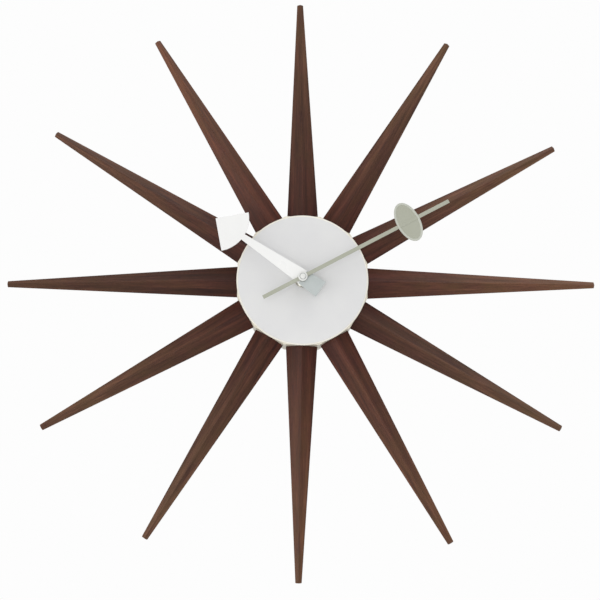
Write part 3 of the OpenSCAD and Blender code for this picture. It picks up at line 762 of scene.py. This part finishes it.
def hex_nut(material):
    """A hexagon nut. Its loops have many points, as the chamfers cut its sides in round curves."""
    low, high = depths("mounting_nut")
    half_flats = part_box("mounting_nut")[1].z
    bore, lead_in, steps = 3.97 * MM, 0.3 * MM, 72
    chamfer_r, chamfer_slope = half_flats * 1.02, math.tan(math.radians(30))

    def hexagon(angle):
        return half_flats / math.cos(math.radians((angle + 30) % 60 - 30))

    def inside_chamfer(angle):
        return min(hexagon(angle), chamfer_r)

    def bore_mouth(angle):
        return bore + lead_in

    def bore_wall(angle):
        return bore

    def loop(height, radius_of, drop=0):
        points = []
        for i in range(steps):
            angle = i * 360 / steps
            radius = radius_of(angle)
            fall = drop * max(0, hexagon(angle) - chamfer_r) * chamfer_slope
            turn = math.radians(angle + 90)
            points.append((radius * math.cos(turn), radius * math.sin(turn), height + fall))
        return points

    loops = [loop(low, bore_mouth), loop(low, inside_chamfer), loop(low, hexagon, 1)]
    loops += [loop(high, hexagon, -1), loop(high, inside_chamfer), loop(high, bore_mouth)]
    loops += [loop(high - lead_in, bore_wall), loop(low + lead_in, bore_wall)]
    bm = bmesh.new()
    loft(bm, [ring(bm, FACE_UP, points) for points in loops], closed=True)
    bmesh.ops.remove_doubles(bm, verts=bm.verts, dist=TINY)
    piece("chamfered_nut", bm, [material], "clock_body", "hub_nickel", "mounting_nut")


def threaded_bush(material):
    low, top = depths("threaded_bush")
    radius, flange, flange_t = 3.95 * MM, 5.45 * MM, 0.7 * MM
    bore, pitch, edge, lead_in = 2.55 * MM, 0.75 * MM, 0.1 * MM, 0.15 * MM
    shoulder = low + flange_t
    before = [(bore, low), (flange - edge, low), (flange, low + edge), (flange, shoulder)]
    before += [(radius - 0.4 * MM, shoulder)]
    after = [(radius - 0.45 * MM, top), (bore + lead_in, top), (bore, top - lead_in)]
    bm = bmesh.new()
    threaded(bm, radius, before, after, shoulder + 0.2 * MM, top - edge, pitch, FACE_UP)
    piece("threaded_tube", bm, [material], "clock_body", "hub_nickel", "threaded_bush")


# ---- movement ----

def battery(jacket, metal_end, insulator):
    """An AA cell, drawn from its flat end to its nub."""
    length, radius, placed = lying_along_x("battery")
    start = placed.translation
    nub, nub_r, nub_edge = 1.0 * MM, 2.75 * MM, 0.25 * MM
    flat_r, flat_edge, seal_r, seal_in = 4.7 * MM, 0.3 * MM, 5.7 * MM, 0.7 * MM
    fold_low, fold_high, step_down = 0.7 * MM, 0.6 * MM, 0.5 * MM
    shoulder = length - nub
    profile = [(0, 0), (flat_r - flat_edge, 0), (flat_r, 0.25 * MM), (flat_r, seal_in)]
    profile += [(seal_r, seal_in), (5.9 * MM, 0.3 * MM)]
    profile += arc((radius - fold_low, 0.75 * MM), fold_low, -90, 0, 5)
    profile += arc((radius - fold_high, shoulder - fold_high), fold_high, 0, 100, 6)
    profile += [(seal_r, shoulder - step_down), (3.9 * MM, shoulder - step_down)]
    profile += [(3.6 * MM, shoulder - 0.15 * MM), (nub_r + 0.3 * MM, shoulder)]
    profile += [(nub_r, shoulder + nub_edge), (nub_r, length - nub_edge)]
    profile += [(nub_r - nub_edge, length), (0, length)]
    bm = bmesh.new()
    lathe(bm, profile, placed, steps=96)
    metal_r, seal_reach = 4.75 * MM, 5.8 * MM
    metal_from, metal_to = 1 * MM, shoulder - 0.45 * MM
    for f in bm.faces:
        at = f.calc_center_median() - start
        out = math.hypot(at.y, at.z)
        if out < metal_r and not metal_from <= at.x <= metal_to:
            f.material_index = 1
        elif out < seal_reach:
            f.material_index = 2
    piece("battery_cell_aa", bm, [jacket, metal_end, insulator], "battery_cell", "battery_jacket", "battery")


def winding(material):
    """Turns of wire side by side, drawn as rings."""
    length, radius, placed = lying_along_x("coil_winding")
    bore, wire, valley = 2.22 * MM, 0.28 * MM, 0.09 * MM
    turns = int(length / wire)
    profile = [(bore, 0), (radius - wire / 2, 0)]
    for turn in range(turns):
        profile += [(radius, (turn + 0.5) * length / turns)]
        profile += [(radius - valley, (turn + 1) * length / turns)]
    profile += [(bore, length)]
    bm = bmesh.new()
    lathe(bm, profile, placed, steps=40, closed=True)
    piece("wound_wire", bm, [material], "clock_body", "coil_copper", "coil_winding")


def build_movement():
    black = moulded("case_black", paint(38, 38, 41), paint(48, 48, 51), 0.52)
    nylon = moulded("train_nylon", paint(226, 222, 208), paint(214, 208, 190), 0.42, texture=0.008)
    resin = moulded("bobbin_resin", paint(226, 208, 158), paint(212, 192, 140), 0.45, texture=0.008)
    along_strip = (0.1, 1, 1)
    nickel = metal("contact_nickel", paint(206, 204, 196), paint(184, 180, 170), 0.26, along_strip, 0.005)
    iron = metal("stator_steel", paint(150, 153, 158), paint(128, 130, 134), 0.42)
    magnet = metal("magnet", paint(92, 94, 99), paint(76, 78, 82), 0.5)
    screw_brass = metal("core_screw_brass", paint(206, 176, 110), paint(180, 150, 92), 0.3)
    gear_brass = turned("gear_brass", paint(214, 180, 106), paint(190, 152, 84), 0.30)
    chip_black = moulded("chip_black", paint(26, 26, 27), paint(34, 34, 35), 0.4)
    knob_black = moulded("knob_black", paint(40, 40, 43), paint(50, 50, 53), 0.42, texture=0.012)
    copper = metal("coil_copper", paint(190, 112, 66), paint(162, 86, 50), 0.28, depth=0.004)
    for node in ("movement_front_case", "movement_rear_case"):
        soften(node, black, 0.25 * MM)
    for node in ("train_plate", "rotor", "intermediate_wheel", "seconds_wheel", "third_wheel",
                 "motion_wheel", "hour_wheel", "setting_pinion"):
        soften(node, nylon, 0.03 * MM)
    for node in ("centre_wheel", "minute_arbor"):
        soften(node, gear_brass, 0.03 * MM)
    for node in ("coil_core", "stator_plate", "quartz_crystal"):
        soften(node, iron, 0.05 * MM)
    for node in ("negative_contact", "positive_contact"):
        soften(node, nickel, 0.06 * MM)
    soften("coil_bobbin", resin, 0.1 * MM)
    soften("core_screws", screw_brass, 0.06 * MM)
    soften("rotor_magnet", magnet, 0.08 * MM)
    soften("circuit_board", circuit("board_green"), 0.08 * MM)
    soften("clock_chip", chip_black, 0.2 * MM)
    soften("setting_knob", knob_black, 0.15 * MM)
    winding(copper)
    dark_band = 13 * MM
    band_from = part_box("battery")[1].x - dark_band
    jacket = battery_jacket("battery_jacket", band_from, paint(150, 152, 150), paint(42, 66, 92))
    battery(jacket, nickel, moulded("insulator", paint(226, 224, 218), paint(210, 208, 200), 0.5))


def build_case():
    screw_steel = metal("screw_steel", paint(178, 180, 182), paint(158, 160, 162), 0.34)
    brass = metal("washer_brass", paint(212, 180, 112), paint(188, 154, 90), 0.32)
    cream = lacquer("drum_cream", paint(236, 230, 214), paint(228, 221, 203), 0.38)
    rubber = moulded("rubber", paint(38, 38, 38), paint(48, 47, 46), 0.8, texture=0.03)
    soften("drum_case", cream, 0.6 * MM, DRUM_ANGLE)
    soften("back_plate", sheet_steel("plate_steel"), 0.12 * MM, DRUM_ANGLE)
    soften("back_plate_screws", screw_steel, 0.08 * MM)
    soften("spike_screws", screw_steel, 0.1 * MM)
    soften("spike_pins", screw_steel, 0.15 * MM)
    soften("spike_washers", brass, 0.08 * MM)
    soften("rubber_washer", rubber, 0.15 * MM)
    walnut = wood("walnut")
    for hour in range(1, HOURS + 1):
        walnut_spike(hour, walnut)
    face = lacquer("dial_grey", paint(224, 224, 224), paint(220, 220, 221), 0.42, ripple=0.01)
    # The paler rim paint is a painted highlight along the dial's rolled edge.
    rim = lacquer("dial_rim_painted_highlight", paint(240, 237, 227), paint(234, 230, 218), 0.30)
    dial(face, rim)


def build_hands():
    white = lacquer("hour_hand_white", paint(244, 244, 243), paint(240, 240, 239), 0.30, ripple=0.008)
    # The tail's darker grey is a painted reflection.
    tail_reflection_grey = metal("hour_tail_painted_reflection", paint(190, 196, 195), paint(184, 190, 189), 0.42, depth=0.004)
    sage = lacquer("minute_hand_sage", paint(173, 175, 160), paint(168, 170, 154), 0.40, ripple=0.008)
    # Paler sage for the oval's rim: a painted highlight.
    sage_rim_highlight = lacquer("minute_hand_rim_highlight", paint(194, 196, 186), paint(188, 191, 179), 0.34, ripple=0.008)
    cap_white = lacquer("cap_white", paint(230, 231, 228), paint(225, 226, 222), 0.26, ripple=0.004)
    cap_ring = lacquer("cap_ring_grey", paint(176, 178, 178), paint(168, 170, 170), 0.4)
    hub = turned("hub_nickel", paint(224, 223, 217), paint(208, 205, 197), 0.24)
    hour_hand(white, tail_reflection_grey)
    minute_hand(sage, sage_rim_highlight)
    hand_cap(cap_white, cap_ring)
    hex_nut(hub)
    threaded_bush(hub)
    for node in ("mounting_washer", "hour_hand_bush", "minute_hand_bush"):
        soften(node, hub, 0.1 * MM)


# ---- stage, light and camera ----

# Name, place, width and power in watts of each lamp. They all face the middle of the clock.
LAMPS = (
    ("key", (-2.1, -1.1, -0.35), 1.8, 14.3),
    ("front", (-0.4, -2.3, -0.52), 1.5, 13.2),
    ("fill", (1.7, -1.9, 0.1), 1.8, 4.8),
    ("high", (0.9, -1.5, 1.5), 1.6, 5),
    ("top", (0.5, -0.35, 1.9), 1.8, 8.5),
    ("back_left", (1.4, 1.8, 0.8), 1.5, 8),
    ("back_right", (-1.6, 1.8, 0.3), 1.5, 5.5),
)


def softbox(name, place, width, power):
    """A large soft lamp that the camera doesn't see."""
    data = bpy.data.lights.new(name, "AREA")
    data.shape = "SQUARE"
    data.size = width
    data.energy = power
    lamp = bpy.data.objects.new(name, data)
    bpy.context.scene.collection.objects.link(lamp)
    lamp.location = place
    lamp.rotation_euler = (-Vector(place)).to_track_quat("-Z", "Y").to_euler()
    lamp.visible_camera = False


def build_floor():
    """A round pale floor far below the clock. The lift shows to the camera only and lights nothing."""
    floor_z, radius, lift = -1.9, 12.0, 0.22
    bm = bmesh.new()
    bm.faces.new(level_ring(bm, Matrix(), radius, floor_z, 96))
    mesh = bpy.data.meshes.new("floor")
    bm.to_mesh(mesh)
    bm.free()
    floor = bpy.data.objects.new("floor", mesh)
    bpy.context.scene.collection.objects.link(floor)
    pale = moulded("floor_pale", paint(238, 238, 236), paint(236, 236, 234), 0.8, texture=0.02, scale=300)
    nodes, links = pale.node_tree.nodes, pale.node_tree.links
    rays = nodes.new("ShaderNodeLightPath")
    shader = nodes["Principled BSDF"]
    shader.inputs["Emission Color"].default_value = (lift, lift, lift, 1)
    links.new(rays.outputs["Is Camera Ray"], shader.inputs["Emission Strength"])
    mesh.materials.append(pale)


def build_surround():
    """A pale backdrop for the camera, and an even white light for everything else."""
    light_strength = 0.575
    world = bpy.data.worlds.new("pale_surround")
    bpy.context.scene.world = world
    world.use_nodes = True
    nodes, links = world.node_tree.nodes, world.node_tree.links
    seen = nodes["Background"]
    seen.inputs["Color"].default_value = paint(253, 253, 253)
    lighting = nodes.new("ShaderNodeBackground")
    lighting.inputs["Color"].default_value = (1, 1, 1, 1)
    lighting.inputs["Strength"].default_value = light_strength
    rays = nodes.new("ShaderNodeLightPath")
    chosen = nodes.new("ShaderNodeMixShader")
    links.new(rays.outputs["Is Camera Ray"], chosen.inputs[0])
    links.new(lighting.outputs[0], chosen.inputs[1])
    links.new(seen.outputs[0], chosen.inputs[2])
    links.new(chosen.outputs[0], nodes["World Output"].inputs["Surface"])


def build_stage():
    build_floor()
    build_surround()
    for lamp in LAMPS:
        softbox(*lamp)


def build_camera():
    """A long lens below the clock, looking up at it."""
    eye = Vector((-0.0174, -0.9541, -0.1683))
    aim = Vector((-0.0016, -0.0220, -0.0140))
    roll, sensor_mm, lens_mm = 0.0083, 36, 70.88
    data = bpy.data.cameras.new("camera")
    data.sensor_width = sensor_mm
    data.lens = lens_mm
    camera = bpy.data.objects.new("camera", data)
    bpy.context.scene.collection.objects.link(camera)
    look = (aim - eye).to_track_quat("-Z", "Y").to_matrix().to_4x4()
    camera.matrix_world = Matrix.Translation(eye) @ look @ Matrix.Rotation(roll, 4, "Z")
    bpy.context.scene.camera = camera
    bpy.context.scene.view_settings.view_transform = "Standard"


build_camera()
build_case()
build_hands()
build_movement()
build_stage()
